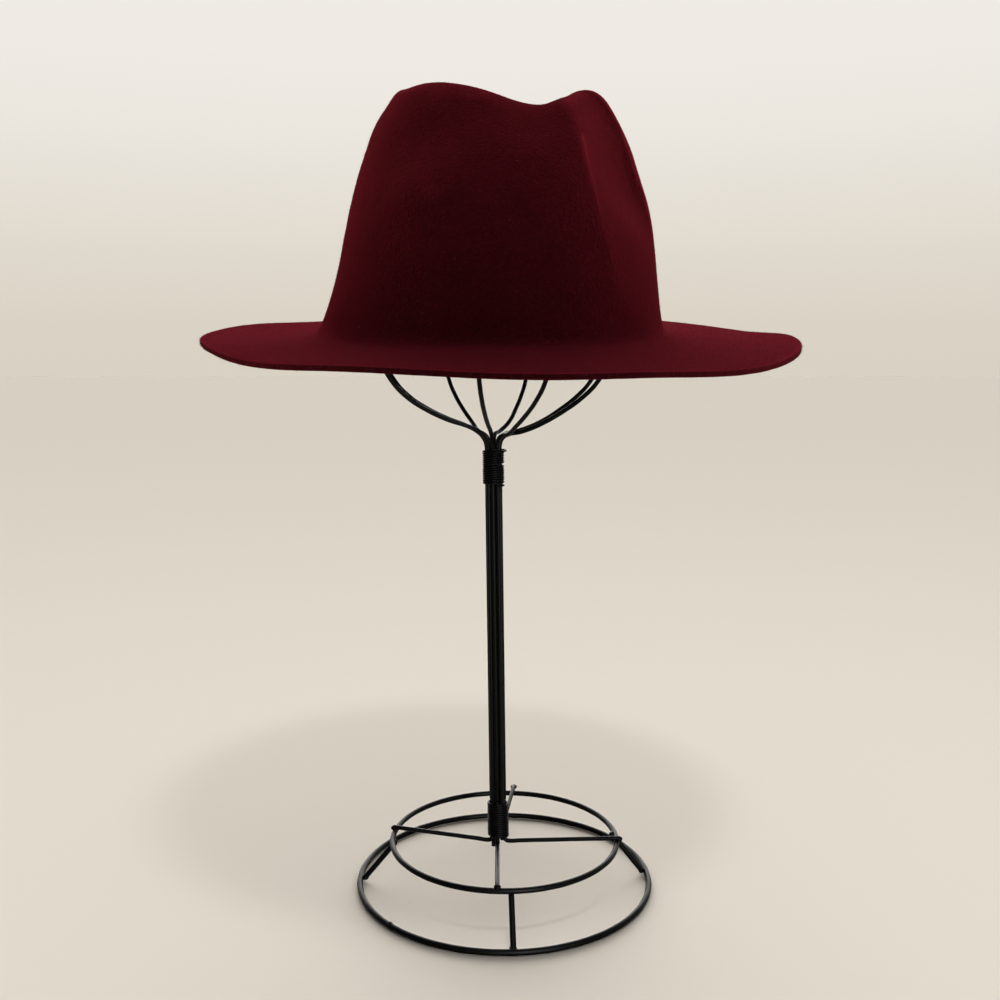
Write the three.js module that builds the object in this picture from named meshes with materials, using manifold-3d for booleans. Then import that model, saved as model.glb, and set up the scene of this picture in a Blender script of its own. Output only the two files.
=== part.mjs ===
// A wide-brimmed wool felt hat on the wire stand that holds it.
// Millimetres, +Z up. The floor is z = 0 and the origin lies on it, under the middle of the brim.
// The front of the hat points to +X, so its right side faces -Y.

import * as THREE from "three";
import { mergeVertices } from "three/addons/utils/BufferGeometryUtils.js";
import Module from "manifold-3d";

const DEGREES = Math.PI / 180;
const CLEARANCE = 0.3; // between pieces that touch

// The hat sits on the stand with its right side down, measured at the oval where crown meets brim.
const FELT = 3.0; // thickness of the felt
const HAT_MIDDLE = { x: -4, y: 0, z: 332 };
const HAT_TILT = 7.2 * DEGREES;

// Crown before it is creased and pinched: half-sizes of its oval at each rise above the brim.
const CROWN_SECTIONS = [
  { rise: 0.2, back: 106.5, front: 103.5, side: 91.5 },
  { rise: 2.0, back: 102.4, front: 99.4, side: 86.8 },
  { rise: 8.0, back: 99.2, front: 97.4, side: 84.0 },
  { rise: 24, back: 93.4, front: 95.0, side: 81.0 },
  { rise: 40, back: 89.0, front: 93.4, side: 79.0 },
  { rise: 56, back: 85.6, front: 91.4, side: 76.5 },
  { rise: 72, back: 81.6, front: 88.0, side: 73.0 },
  { rise: 87, back: 77.2, front: 82.4, side: 68.5 },
  { rise: 100, back: 72.4, front: 78.2, side: 63.0 },
  { rise: 112, back: 68.0, front: 72.6, side: 57.0 },
  { rise: 122, back: 62.4, front: 67.0, side: 50.0 },
  { rise: 130, back: 56.4, front: 61.4, side: 43.5 },
  { rise: 135, back: 50.2, front: 54.0, side: 35.5 },
  { rise: 137.5, back: 41.0, front: 42.0, side: 25.0 },
  { rise: 138, back: 22.0, front: 23.0, side: 13.0 },
  { rise: 138.1, back: 0.0, front: 0.0, side: 0.0 },
];

// The crease along the top, widest at the back, and the dip in its two ridges.
const CREASE = { back: -57, front: 44, ease: 28, depth: 17, backBreadth: 30, frontBreadth: 18 };
const TOP_DIP = { x: 24, behind: 22, ahead: 13, depth: 13, fromRise: 85, toRise: 132 };

// The front pinch: each side is pressed in ahead of a sharp ridge, which leaves a rounded prow.
// Below the shelf, which falls from the ridge to the prow, the press is slight.
const PINCH = {
  press: 0.66,
  pressBelowShelf: 0.2,
  prowShare: 0.45,
  prowFrom: 0.45,
  shelfAtRidge: 86,
  shelfAtFront: 40,
  shelfEase: 15,
  startRise: 18,
  fullRise: 44,
  fadeFrom: 18,
  fadeTo: 46,
};
const RIDGE_AZIMUTH = [
  { rise: 0, azimuth: 44 },
  { rise: 35, azimuth: 46.5 },
  { rise: 70, azimuth: 51.5 },
  { rise: 98, azimuth: 52.5 },
  { rise: 126, azimuth: 49 },
  { rise: 137, azimuth: 47 },
];

// Soft dents in the sides of the crown. The side is -1 on the hat's right and 1 on its left.
const SOFT_DENTS = [
  { side: -1, x: -30, rise: 107, length: 34, breadth: 13, turn: 28, depth: 4.5 },
  { side: -1, x: 12, rise: 62, length: 16, breadth: 34, turn: 12, depth: 1.6 },
  { side: 1, x: -24, rise: 98, length: 36, breadth: 15, turn: 18, depth: 4.0 },
  { side: 1, x: 20, rise: 48, length: 26, breadth: 22, turn: -10, depth: 1.5 },
];

// Brim: an oval edge about its own middle, and how far the edge lies above the foot of the crown.
const BRIM = { x: 4, halfLength: 171.5, halfWidth: 162, droopPower: 1.25 };
const BRIM_EDGE = [
  { azimuth: 0, lift: -1.7 },
  { azimuth: 22.5, lift: -4.5 },
  { azimuth: 45, lift: -2.9 },
  { azimuth: 67.5, lift: -1.9 },
  { azimuth: 90, lift: -1.5 },
  { azimuth: 112.5, lift: -1.6 },
  { azimuth: 135, lift: -2.4 },
  { azimuth: 157.5, lift: 0.2 },
  { azimuth: 180, lift: 0.5 },
  { azimuth: 202.5, lift: -0.2 },
  { azimuth: 225, lift: -3.4 },
  { azimuth: 247.5, lift: -1.0 },
  { azimuth: 270, lift: -3.1 },
  { azimuth: 292.5, lift: -3.8 },
  { azimuth: 315, lift: -7.0 },
  { azimuth: 337.5, lift: -4.5 },
];

// Mesh steps of the hat, for half of it: ahead of the ridge and behind it.
const FRONT_STEPS = 10;
const BACK_STEPS = 20;
const BRIM_ROWS = 5;
const CROWN_ROWS = 22;

// Stand. Ring sizes are those of the wire's centre line.
const STAND = { x: 2.1, y: -10 };
const LOWER_RING = { radius: 88, wire: 3.5, steps: 40 };
const UPPER_RING = { radius: 68.2, wire: 3.3, z: 26.2, steps: 36 };
const LEG = { wire: 3.3, turn: 3, topInset: 1.2, topDrop: 2.25, footInset: 2.3, footZ: 1.85 };
const SPOKE = { wire: 2.6, low: 24.2, bendRadius: 2.3, bendSteps: 3, ends: [-6, 84.5, 173, -93.5] };
const SPOKE_WELD = { sunk: 0.25, past: 1.5 }; // into the upper ring, and past its centre line
const SPOKE_TOP_ABOVE_WRAP = 0.9;
const STEM = { wire: 2.6, radius: 3.8, turn: -6, baseX: -1.6, topX: -4.6, baseZ: 26, topZ: 265 };
const WRAP = { wire: 1.2, sides: 14, turnsDrawn: 8 };
const LOWER_WRAP = { from: 27.2, to: 49.4 };
const UPPER_WRAP = { from: 242.6, to: 265 };
const STUB_BELOW_WRAP = { long: 5.6, short: 1.4 };

// Half of a loop of the dome, from the stem up and over to the top.
const RIB_PROFILE = [
  { out: 3.9, z: 266.5 },
  { out: 5.6, z: 271 },
  { out: 9, z: 274.5 },
  { out: 16, z: 278 },
  { out: 28, z: 282 },
  { out: 42, z: 288.5 },
  { out: 52, z: 295 },
  { out: 60, z: 303 },
  { out: 66, z: 314 },
  { out: 68.5, z: 330 },
  { out: 67.5, z: 350 },
  { out: 63, z: 374 },
  { out: 54, z: 398 },
  { out: 41, z: 419 },
  { out: 25, z: 433 },
];
const DOME_TOP = 442.1; // centre line of the highest loop where the loops cross

// Each loop is one wire with two ribs, which leave the stem at opposite slots and settle to their
// azimuths. They are bent by hand, so a rib can sag below the profile or reach past it.
const LOOPS = [
  {
    name: "loop_wire_1",
    foot: "above",
    ribs: [
      { slot: 0, azimuth: -20, sag: 3.5, reach: 1.04 },
      { slot: 4, azimuth: 160, sag: 0, reach: 1.03 },
    ],
  },
  {
    name: "loop_wire_2",
    foot: "below",
    ribs: [
      { slot: 1, azimuth: 20, sag: 3.5, reach: 1.035 },
      { slot: 5, azimuth: 200, sag: 0, reach: 0.985 },
    ],
  },
  {
    name: "loop_wire_3",
    foot: "below",
    ribs: [
      { slot: 7, azimuth: -62, sag: 4, reach: 1 },
      { slot: 3, azimuth: 117, sag: 4, reach: 1 },
    ],
  },
  {
    name: "loop_wire_4",
    foot: "above",
    ribs: [
      { slot: 6, azimuth: -96, sag: 1, reach: 1 },
      { slot: 2, azimuth: 70, sag: 4, reach: 1 },
    ],
  },
];
const SAG_FROM = 5;
const SAG_FULL = 14;
const SAG_GONE = 58;
const LONG_STUB_SLOT = 5;

const WIRE_SIDES = 6;
const RING_SIDES = 8;

const wasm = await Module();
wasm.setup();

function smooth(from, to, value) {
  return THREE.MathUtils.smoothstep(value, from, to);
}

// Reads one column of a table at a fraction of its length, on a smooth curve through its rows.
function tableCurve(rows, columns, closed = false) {
  const points = rows.map((row) => new THREE.Vector3(...columns.map((name) => row[name] ?? 0)));
  return new THREE.CatmullRomCurve3(points, closed, "catmullrom", 0.5);
}

const crownSizes = tableCurve(CROWN_SECTIONS, ["back", "front", "side"]);
const crownRises = tableCurve(CROWN_SECTIONS, ["rise"]);
const brimLifts = tableCurve(BRIM_EDGE, ["lift"], true);

function ridgeAzimuth(rise) {
  const next = RIDGE_AZIMUTH.findIndex((row) => row.rise >= rise);
  if (next <= 0) {
    return RIDGE_AZIMUTH[next === 0 ? 0 : RIDGE_AZIMUTH.length - 1].azimuth * DEGREES;
  }
  const low = RIDGE_AZIMUTH[next - 1];
  const high = RIDGE_AZIMUTH[next];
  const share = smooth(low.rise, high.rise, rise);
  return THREE.MathUtils.lerp(low.azimuth, high.azimuth, share) * DEGREES;
}

// Columns run right round the hat, and one of them stays on each ridge of the pinch.
function columnAzimuth(column, ridge) {
  const half = FRONT_STEPS + BACK_STEPS;
  const side = column <= half ? 1 : -1;
  const step = column <= half ? column : 2 * half - column;
  if (step <= FRONT_STEPS) {
    return side * ridge * (step / FRONT_STEPS);
  }
  return side * (ridge + (Math.PI - ridge) * ((step - FRONT_STEPS) / BACK_STEPS));
}

function pinchShare(azimuth, ridge, rise, x) {
  const ahead = (ridge - Math.abs(azimuth)) / ridge;
  if (ahead <= 0) {
    return 0;
  }
  const shelf = THREE.MathUtils.lerp(PINCH.shelfAtRidge, PINCH.shelfAtFront, ahead ** 0.8);
  const above = smooth(shelf - PINCH.shelfEase, shelf + PINCH.shelfEase, rise);
  const press = THREE.MathUtils.lerp(PINCH.pressBelowShelf, PINCH.press, above);
  const started = smooth(PINCH.startRise, PINCH.fullRise, rise);
  const notFaded = smooth(PINCH.fadeFrom, PINCH.fadeTo, x);
  const roundedProw = THREE.MathUtils.lerp(1, PINCH.prowShare, smooth(PINCH.prowFrom, 1, ahead));
  return press * started * notFaded * (1 - (1 - ahead) ** 3) * roundedProw;
}

function softDentDepth(x, y, rise) {
  let depth = 0;
  for (const dent of SOFT_DENTS) {
    const along = Math.cos(dent.turn * DEGREES);
    const across = Math.sin(dent.turn * DEGREES);
    const u = ((x - dent.x) * along + (rise - dent.rise) * across) / dent.length;
    const v = ((rise - dent.rise) * along - (x - dent.x) * across) / dent.breadth;
    const onSide = smooth(10, 40, y * dent.side);
    depth += dent.depth * onSide * Math.exp(-(u * u + v * v));
  }
  return depth;
}

function creaseDepth(x, y) {
  const aheadOfBack = smooth(CREASE.back, CREASE.back + CREASE.ease, x);
  const behindFront = 1 - smooth(CREASE.front - CREASE.ease, CREASE.front, x);
  const share = smooth(CREASE.back + CREASE.ease, CREASE.front, x);
  const breadth = THREE.MathUtils.lerp(CREASE.backBreadth, CREASE.frontBreadth, share);
  const across = Math.max(0, 1 - (y / breadth) ** 2) ** 2;
  return CREASE.depth * aheadOfBack * behindFront * across;
}

function topDip(x, rise) {
  const share = (x - TOP_DIP.x) / (x < TOP_DIP.x ? TOP_DIP.behind : TOP_DIP.ahead);
  return TOP_DIP.depth * Math.exp(-0.5 * share * share) * smooth(TOP_DIP.fromRise, TOP_DIP.toRise, rise);
}

// A point of the crown's outer face, at a fraction of the way from the brim to the top.
function crownPoint(fraction, column) {
  const size = crownSizes.getPoint(fraction);
  const rise = crownRises.getPoint(fraction).x;
  const ridge = ridgeAzimuth(rise);
  const azimuth = columnAzimuth(column, ridge);
  const reach = Math.cos(azimuth) >= 0 ? size.y : size.x;
  const x = reach * Math.cos(azimuth);
  let y = size.z * Math.sin(azimuth);
  y *= 1 - pinchShare(azimuth, ridge, rise, x);
  y -= Math.sign(y) * softDentDepth(x, y, rise);
  return new THREE.Vector3(x, y, rise - topDip(x, rise) - creaseDepth(x, y));
}

// A point of the brim's upper face, at a fraction of the way from its edge to the crown.
function brimPoint(fraction, column) {
  const foot = crownPoint(0, column);
  const azimuth = columnAzimuth(column, ridgeAzimuth(0));
  const turn = THREE.MathUtils.euclideanModulo(azimuth / (2 * Math.PI), 1);
  const edge = new THREE.Vector3(
    BRIM.x + BRIM.halfLength * Math.cos(azimuth),
    BRIM.halfWidth * Math.sin(azimuth),
    brimLifts.getPoint(turn).x,
  );
  const out = 1 - fraction;
  return new THREE.Vector3(
    THREE.MathUtils.lerp(foot.x, edge.x, out),
    THREE.MathUtils.lerp(foot.y, edge.y, out),
    foot.z + (edge.z - foot.z) * out ** BRIM.droopPower,
  );
}

// Triangles of a face made of closed rings of points that end in one point at the top.
function faceTriangles(rings, columns, first, outward) {
  const triangles = [];
  const add = (a, b, c) => triangles.push(...(outward ? [a, b, c] : [a, c, b]));
  const top = first + rings * columns;
  for (let ring = 0; ring < rings; ring += 1) {
    for (let column = 0; column < columns; column += 1) {
      const a = first + ring * columns + column;
      const b = first + ring * columns + ((column + 1) % columns);
      if (ring === rings - 1) {
        add(a, b, top);
      } else {
        add(a, b, b + columns);
        add(a, b + columns, a + columns);
      }
    }
  }
  return triangles;
}

function feltHat() {
  const columns = 2 * (FRONT_STEPS + BACK_STEPS);
  const outer = [];
  for (let row = 0; row < BRIM_ROWS; row += 1) {
    for (let column = 0; column < columns; column += 1) {
      outer.push(...brimPoint(row / BRIM_ROWS, column));
    }
  }
  for (let row = 0; row < CROWN_ROWS; row += 1) {
    for (let column = 0; column < columns; column += 1) {
      outer.push(...crownPoint(row / CROWN_ROWS, column));
    }
  }
  outer.push(...crownPoint(1, 0));
  const rings = BRIM_ROWS + CROWN_ROWS;
  const count = rings * columns + 1;
  const outerFace = faceTriangles(rings, columns, 0, true);

  const skin = new THREE.BufferGeometry();
  skin.setAttribute("position", new THREE.Float32BufferAttribute(outer, 3));
  skin.setIndex(outerFace);
  skin.computeVertexNormals();
  const normals = skin.getAttribute("normal").array;
  const inner = outer.map((value, index) => value - FELT * normals[index]);

  const cutEdge = [];
  for (let column = 0; column < columns; column += 1) {
    const next = (column + 1) % columns;
    cutEdge.push(column, count + column, count + next);
    cutEdge.push(column, count + next, next);
  }
  const body = new THREE.BufferGeometry();
  body.setAttribute("position", new THREE.Float32BufferAttribute([...outer, ...inner], 3));
  body.setIndex([...outerFace, ...faceTriangles(rings, columns, count, false), ...cutEdge]);
  return body;
}

// A round section with a flat side down, to be swept along a wire.
function wireSection(diameter, sides) {
  const section = new THREE.Shape();
  for (let side = 0; side < sides; side += 1) {
    const angle = ((side + 0.5) / sides) * 2 * Math.PI - Math.PI / 2;
    const corner = [(Math.cos(angle) * diameter) / 2, (Math.sin(angle) * diameter) / 2];
    if (side === 0) {
      section.moveTo(...corner);
    } else {
      section.lineTo(...corner);
    }
  }
  section.closePath();
  return section;
}

// A path whose sections lie at its points, so that they can be close where the wire bends.
class BentPath extends THREE.CatmullRomCurve3 {
  getPointAt(share, target) {
    return this.getPoint(share, target);
  }

  getTangentAt(share, target) {
    return this.getTangent(share, target);
  }
}

function sweptWire(points, diameter) {
  const extrudePath = new BentPath(points, false, "centripetal");
  const options = { steps: points.length - 1, curveSegments: 1, extrudePath };
  return new THREE.ExtrudeGeometry(wireSection(diameter, WIRE_SIDES), options);
}

function ringGeometry({ radius, wire, steps }, middleZ) {
  const half = wire / 2;
  const flat = half / Math.cos(Math.PI / RING_SIDES);
  const profile = [];
  for (let side = 0; side <= RING_SIDES; side += 1) {
    const angle = ((side + 0.5) / RING_SIDES) * 2 * Math.PI - Math.PI / 2;
    profile.push(new THREE.Vector2(radius + flat * Math.cos(angle), flat * Math.sin(angle)));
  }
  profile[RING_SIDES].copy(profile[0]);
  const ring = new THREE.LatheGeometry(profile, steps);
  ring.rotateX(Math.PI / 2);
  ring.translate(STAND.x, STAND.y, middleZ);
  return ring;
}

function onStand(radius, azimuth, z) {
  const turn = azimuth * DEGREES;
  return new THREE.Vector3(STAND.x + radius * Math.cos(turn), STAND.y + radius * Math.sin(turn), z);
}

// The stem leans a little, so a place on it follows the line from its foot to its top.
function onStem(radius, azimuth, z) {
  const share = (z - STEM.baseZ) / (STEM.topZ - STEM.baseZ);
  const middle = THREE.MathUtils.lerp(STEM.baseX, STEM.topX, share);
  const turn = azimuth * DEGREES;
  return new THREE.Vector3(middle + radius * Math.cos(turn), STAND.y + radius * Math.sin(turn), z);
}

function slotAzimuth(slot) {
  return STEM.turn + 45 * slot;
}

function legGeometry(azimuth) {
  const top = onStand(UPPER_RING.radius - LEG.topInset, azimuth, UPPER_RING.z - LEG.topDrop);
  const foot = onStand(LOWER_RING.radius - LEG.footInset, azimuth, LEG.footZ);
  return sweptWire([top, foot], LEG.wire);
}

// An upright prong that the lower wrap binds to the stem, bent out to lie on the upper ring.
function spokeGeometry(quarter) {
  const azimuth = slotAzimuth(2 * quarter);
  const onRing = UPPER_RING.z + (UPPER_RING.wire + SPOKE.wire) / 2 - SPOKE_WELD.sunk;
  const points = [
    onStem(STEM.radius, azimuth, LOWER_WRAP.to + SPOKE_TOP_ABOVE_WRAP),
    onStem(STEM.radius, azimuth, LOWER_WRAP.from),
  ];
  for (let step = 0; step <= SPOKE.bendSteps; step += 1) {
    const turn = (step / SPOKE.bendSteps) * (Math.PI / 2);
    const out = STEM.radius + SPOKE.bendRadius * (1 - Math.cos(turn));
    points.push(onStem(out, azimuth, SPOKE.low + SPOKE.bendRadius * (1 - Math.sin(turn))));
  }
  points.push(onStand(UPPER_RING.radius + SPOKE_WELD.past, SPOKE.ends[quarter], onRing));
  return sweptWire(points, SPOKE.wire);
}

function toSolid(geometry) {
  const bare = geometry.clone();
  bare.deleteAttribute("normal");
  bare.deleteAttribute("uv");
  const merged = mergeVertices(bare, 1e-4);
  const vertProperties = new Float32Array(merged.getAttribute("position").array);
  const triVerts = new Uint32Array(merged.getIndex().array);
  return new wasm.Manifold(new wasm.Mesh({ numProp: 3, vertProperties, triVerts }));
}

function fromSolid(solid) {
  const mesh = solid.getMesh();
  const geometry = new THREE.BufferGeometry();
  geometry.setAttribute("position", new THREE.BufferAttribute(mesh.vertProperties, 3));
  geometry.setIndex(new THREE.BufferAttribute(mesh.triVerts, 1));
  return geometry;
}

// The two rings, four legs and four spokes are welded into one frame.
function baseFrame() {
  let frame = toSolid(ringGeometry(LOWER_RING, LOWER_RING.wire / 2));
  frame = frame.add(toSolid(ringGeometry(UPPER_RING, UPPER_RING.z)));
  for (let quarter = 0; quarter < 4; quarter += 1) {
    frame = frame.add(toSolid(legGeometry(LEG.turn + 90 * quarter)));
    frame = frame.add(toSolid(spokeGeometry(quarter)));
  }
  return fromSolid(frame);
}

function footZ(loop, slot) {
  if (loop.foot === "above") {
    return LOWER_WRAP.to + SPOKE_TOP_ABOVE_WRAP + CLEARANCE;
  }
  return LOWER_WRAP.from - (slot === LONG_STUB_SLOT ? STUB_BELOW_WRAP.long : STUB_BELOW_WRAP.short);
}

// Points of one rib, from its foot in the stem to just short of the top of the dome.
function ribPoints(loop, rib, layerDrop) {
  const start = slotAzimuth(rib.slot);
  const turnBy = THREE.MathUtils.euclideanModulo(rib.azimuth - start + 180, 360) - 180;
  const points = [
    onStem(STEM.radius, start, footZ(loop, rib.slot)),
    onStem(STEM.radius, start, (STEM.baseZ + STEM.topZ) / 2),
    onStem(STEM.radius, start, UPPER_WRAP.from),
    onStem(STEM.radius, start, UPPER_WRAP.to - 3),
  ];
  for (const { out, z } of RIB_PROFILE) {
    const settled = smooth(STEM.radius, 26, out);
    const sagged = rib.sag * smooth(SAG_FROM, SAG_FULL, out) * (1 - smooth(SAG_FULL, SAG_GONE, out));
    const lowered = layerDrop * smooth(360, DOME_TOP, z);
    const radius = out * THREE.MathUtils.lerp(1, rib.reach, settled);
    points.push(onStem(radius, start + turnBy * settled, z - sagged - lowered));
  }
  return points;
}

function loopGeometry(loop, layer) {
  const layerDrop = layer * (STEM.wire + CLEARANCE);
  const top = onStem(0, 0, DOME_TOP - layerDrop);
  const [first, second] = loop.ribs.map((rib) => ribPoints(loop, rib, layerDrop));
  return sweptWire([...first, top, ...second.reverse()], STEM.wire);
}

// A coil of thin wire wound tight round the stem, drawn as a sleeve with one groove between turns.
function wrapGeometry({ from, to }) {
  const inside = (STEM.radius + STEM.wire / 2 + CLEARANCE) / Math.cos(Math.PI / WRAP.sides);
  const outside = inside + WRAP.wire;
  const pitch = (to - from) / WRAP.turnsDrawn;
  const profile = [new THREE.Vector2(inside, from)];
  for (let turn = 0; turn < WRAP.turnsDrawn; turn += 1) {
    const low = from + turn * pitch;
    profile.push(new THREE.Vector2(outside - WRAP.wire * 0.3, low));
    profile.push(new THREE.Vector2(outside, low + pitch / 2));
  }
  profile.push(new THREE.Vector2(outside - WRAP.wire * 0.3, to));
  profile.push(new THREE.Vector2(inside, to));
  profile.push(profile[0].clone());
  const sleeve = new THREE.LatheGeometry(profile, WRAP.sides);
  sleeve.rotateX(Math.PI / 2);
  const lean = (STEM.topX - STEM.baseX) / (STEM.topZ - STEM.baseZ);
  sleeve.applyMatrix4(new THREE.Matrix4().makeShear(0, 0, 0, 0, lean, 0));
  sleeve.translate(STEM.baseX - lean * STEM.baseZ, STAND.y, 0);
  return sleeve;
}

const felt = new THREE.MeshStandardMaterial({ color: 0x4a0f1c, roughness: 0.95, metalness: 0 });
const blackWire = new THREE.MeshStandardMaterial({ color: 0x0d0d0e, roughness: 0.45, metalness: 0.3 });

function addPiece(group, name, geometry, material) {
  const piece = new THREE.Mesh(geometry, material.clone());
  piece.name = name;
  group.add(piece);
}

const stand = new THREE.Group();
addPiece(stand, "base_frame", baseFrame(), blackWire);
for (const [layer, loop] of LOOPS.entries()) {
  addPiece(stand, loop.name, loopGeometry(loop, layer), blackWire);
}
addPiece(stand, "lower_wrap", wrapGeometry(LOWER_WRAP), blackWire);
addPiece(stand, "upper_wrap", wrapGeometry(UPPER_WRAP), blackWire);

const hat = new THREE.Group();
hat.position.set(HAT_MIDDLE.x, HAT_MIDDLE.y, HAT_MIDDLE.z);
hat.rotation.x = HAT_TILT;
addPiece(hat, "felt_hat", feltHat(), felt);

const hatOnStand = new THREE.Group();
hatOnStand.add(stand);
hatOnStand.add(hat);

export default hatOnStand;
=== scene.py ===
"""Dresses a wide-brimmed wool felt hat, and the wire stand that holds it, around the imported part.

The front of the hat points to +X and its right side faces -Y. Lengths in the tables are in
millimetres, in the part's own frame, and lengths in Blender are in metres.
"""

import math

import bmesh
import bpy
import numpy as np
from bpy.props import FloatProperty, FloatVectorProperty, IntProperty, PointerProperty
from mathutils import Matrix, Vector, noise


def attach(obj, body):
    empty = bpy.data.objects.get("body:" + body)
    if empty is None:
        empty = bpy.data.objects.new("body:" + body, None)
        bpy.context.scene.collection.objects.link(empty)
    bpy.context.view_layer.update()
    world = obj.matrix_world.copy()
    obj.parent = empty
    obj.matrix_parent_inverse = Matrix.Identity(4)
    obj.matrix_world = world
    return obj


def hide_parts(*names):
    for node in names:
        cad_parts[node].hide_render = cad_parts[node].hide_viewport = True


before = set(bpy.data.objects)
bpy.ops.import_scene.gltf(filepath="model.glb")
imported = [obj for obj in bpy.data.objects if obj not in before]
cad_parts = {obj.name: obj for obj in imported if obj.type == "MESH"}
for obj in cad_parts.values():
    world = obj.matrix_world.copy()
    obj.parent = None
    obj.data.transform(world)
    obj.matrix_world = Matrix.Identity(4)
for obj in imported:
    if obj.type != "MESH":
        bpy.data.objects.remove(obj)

bl_info = {
    "name": "Felt Hat on Wire Stand",
    "version": (1, 0, 0),
    "blender": (4, 5, 0),
    "location": "View3D > Sidebar > Hat",
    "description": "Makes the felt, the wires and the stage of a hat on a wire stand",
    "category": "Object",
}

MM = 0.001

# The hat is turned about X, so that its right side hangs lower.
HAT_MIDDLE = Vector((-4.0, 0.0, 332.0))
HAT_TILT = math.radians(7.2)
# Seen from this point, the outer face of the felt looks away and the inner face looks back.
UNDER_THE_HAT = Vector((-4.0, 0.0, 250.0))
# A fold lies ahead of this, in mm, and bends by at least this angle. One that runs up the crown
# climbs at least this steeply.
FOLDS_AHEAD_OF = 18.0
FOLD_ANGLE = math.radians(14)
UPRIGHT_SLOPE = 1.5
# Folds that stay sharp: (lowest rise, highest rise, whether they run up the crown, crease).
RIDGE_CREASES = (
    (58.0, 128.0, True, 0.75),
    (36.0, 58.0, True, 0.35),
    (-6.0, 5.0, False, 0.5),
)
# Bend of the felt, in 1/mm, from which its nap is painted paler and at which it is fully so. That
# paler nap on ridges and rims is partly wear and partly a painted highlight.
WEAR_AND_HIGHLIGHT_BEND = (0.02, 0.09)
# How many times that bend is evened out between neighbouring places.
WEAR_AND_HIGHLIGHT_SPREAD = 2
# Distance from the hat's middle, in mm, at which the brim starts.
BRIM_STARTS = 118.0
# How strongly the brim's rim takes that wear and painted highlight, where the crown's ridges are 1.
RIM_WEAR_AND_HIGHLIGHT = 0.3
# The brim is cut where the cosine between the felt's normal and the hat's up is below this.
CUT_FACING = 0.55
# Swellings of the felt: (place on the hat, half lengths, which way and how far), in mm.
SWELLINGS = (
    ((-42.0, 0.0, 138.0), (16.0, 70.0, 14.0), (0.0, 0.0, 2.5)),
    ((-60.0, 0.0, 128.0), (6.0, 70.0, 12.0), (0.0, 0.0, -1.5)),
    ((-34.0, -75.0, 78.0), (30.0, 40.0, 13.0), (0.0, -2.4, 0.0)),
)
# Small lumps of the felt: their length in mm, and where their noise starts.
LUMP_LENGTH = 9.0
LUMP_START = Vector((7, 3, 1))
# Rounding of the felt's edges, in mm, and the angle below which its triangles pair up.
FELT_ROUNDING = 0.45
QUAD_ANGLE = math.radians(60)

# Fibres: seed of their draws, widths next to the group's own, least curl, how densely they stand
# on the felt's inner face, where the outer face is 1, and how dark their darker stretches are.
FIBRE_SEED = 11
FIBRE_WIDTHS = (0.7, 1.3)
LEAST_CURL = 0.1
INNER_SHARE = 0.25
DARK_STRETCH = 0.55

# Edges sharper than this are rounded, on the felt and at the wires' ends.
SHARP = math.radians(60)
# Rounding of a wire's cut ends next to its thickness, and the angle below which it looks smooth.
WIRE_ROUNDING = 0.16
SMOOTH_BELOW = math.radians(50)

# Stand: ring sizes are those of the wire's centre line.
STAND_MIDDLE = Vector((2.1, -10.0, 0.0))
LOWER_RING = {"radius": 88.0, "z": 1.75, "wire": 3.5, "seed": 0.3}
UPPER_RING = {"radius": 68.2, "z": 26.2, "wire": 3.3, "seed": 4.1}
# How far a ring strays from a true circle, the knots round it, and where the lower one is joined.
RING_WOBBLE = 0.22
RING_STEPS = 32
RING_JOINT_AZIMUTH = 223
LEG_WIRE = 3.3
LEG_FOOT = {"radius": 85.7, "z": 1.85}
LEG_TOPS = (
    {"azimuth": 3, "radius": 65.6, "z": 27.6},
    {"azimuth": 93, "radius": 67.0, "z": 24.0},
    {"azimuth": 183, "radius": 66.6, "z": 24.6},
    {"azimuth": 273, "radius": 67.0, "z": 24.0},
)
# Blobs of weld, and how far each sits in and up from the wire it holds, or along the leg.
WELDS = {
    "ring": {"radius": 2.1, "flatness": 0.95, "inwards": 0.0, "up": 0.2},
    "leg_foot": {"radius": 2.0, "flatness": 0.8, "along": 0.03},
    "leg_top": {"radius": 1.9, "flatness": 0.8, "inwards": 1.0, "up": -1.2},
    "spoke": {"radius": 2.0, "flatness": 0.85, "inwards": 0.8, "up": -0.5},
}
WELD_LUMPS = {"closeness": 1.3, "height": 0.22}

STEM = {"radius": 3.8, "turn": -6.0, "base_x": -1.6, "top_x": -4.6, "base_z": 26.0, "top_z": 265.0}
THIN_WIRE = 2.6
# A spoke's lowest height, and the radius of its bend and the steps round it.
SPOKE_LOW = 24.2
SPOKE_BEND = 2.3
SPOKE_BEND_STEPS = 3
# Extra knots of a spoke: height over its coil's foot, and shares of the way out to the ring.
SPOKE_KNOT_RISE = 6.0
SPOKE_KNOTS = (0.12, 0.55)
SPOKE_ENDS = (
    {"azimuth": -6.0, "radius": 70.6, "z": 28.9},
    {"azimuth": 84.5, "radius": 70.4, "z": 30.6},
    {"azimuth": 173.0, "radius": 69.4, "z": 28.9},
    {"azimuth": -93.5, "radius": 69.0, "z": 28.9},
)
# A tilt is (turn, gap that opens there on the +X side). The upper coil ends in a small open loop.
LOWER_WRAP = {"low": 27.2, "high": 49.4, "tilts": (), "loop_end": 0.0}
UPPER_WRAP = {
    "low": 243.1,
    "high": 264.2,
    "tilts": ((-2, -0.8), (1.0, 0.9), (8.6, 0.9), (14.2, 0.4)),
    "loop_end": 1.7,
}
# How far a tilt spreads, in turns, and the turns before the end at which the open loop starts,
# is widest and ends.
TILT_SPREAD = 0.4
OPEN_LOOP = (1.15, 0.8, 0.5)
# A coil: knots a turn, azimuth of its start, gap to the wires that it binds, and unevenness.
WRAP_STEPS = 12
WRAP_START = -60
WRAP_GAP = 0.1
WRAP_WOBBLE = {"closeness": 1.7, "height": 0.12}
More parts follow.
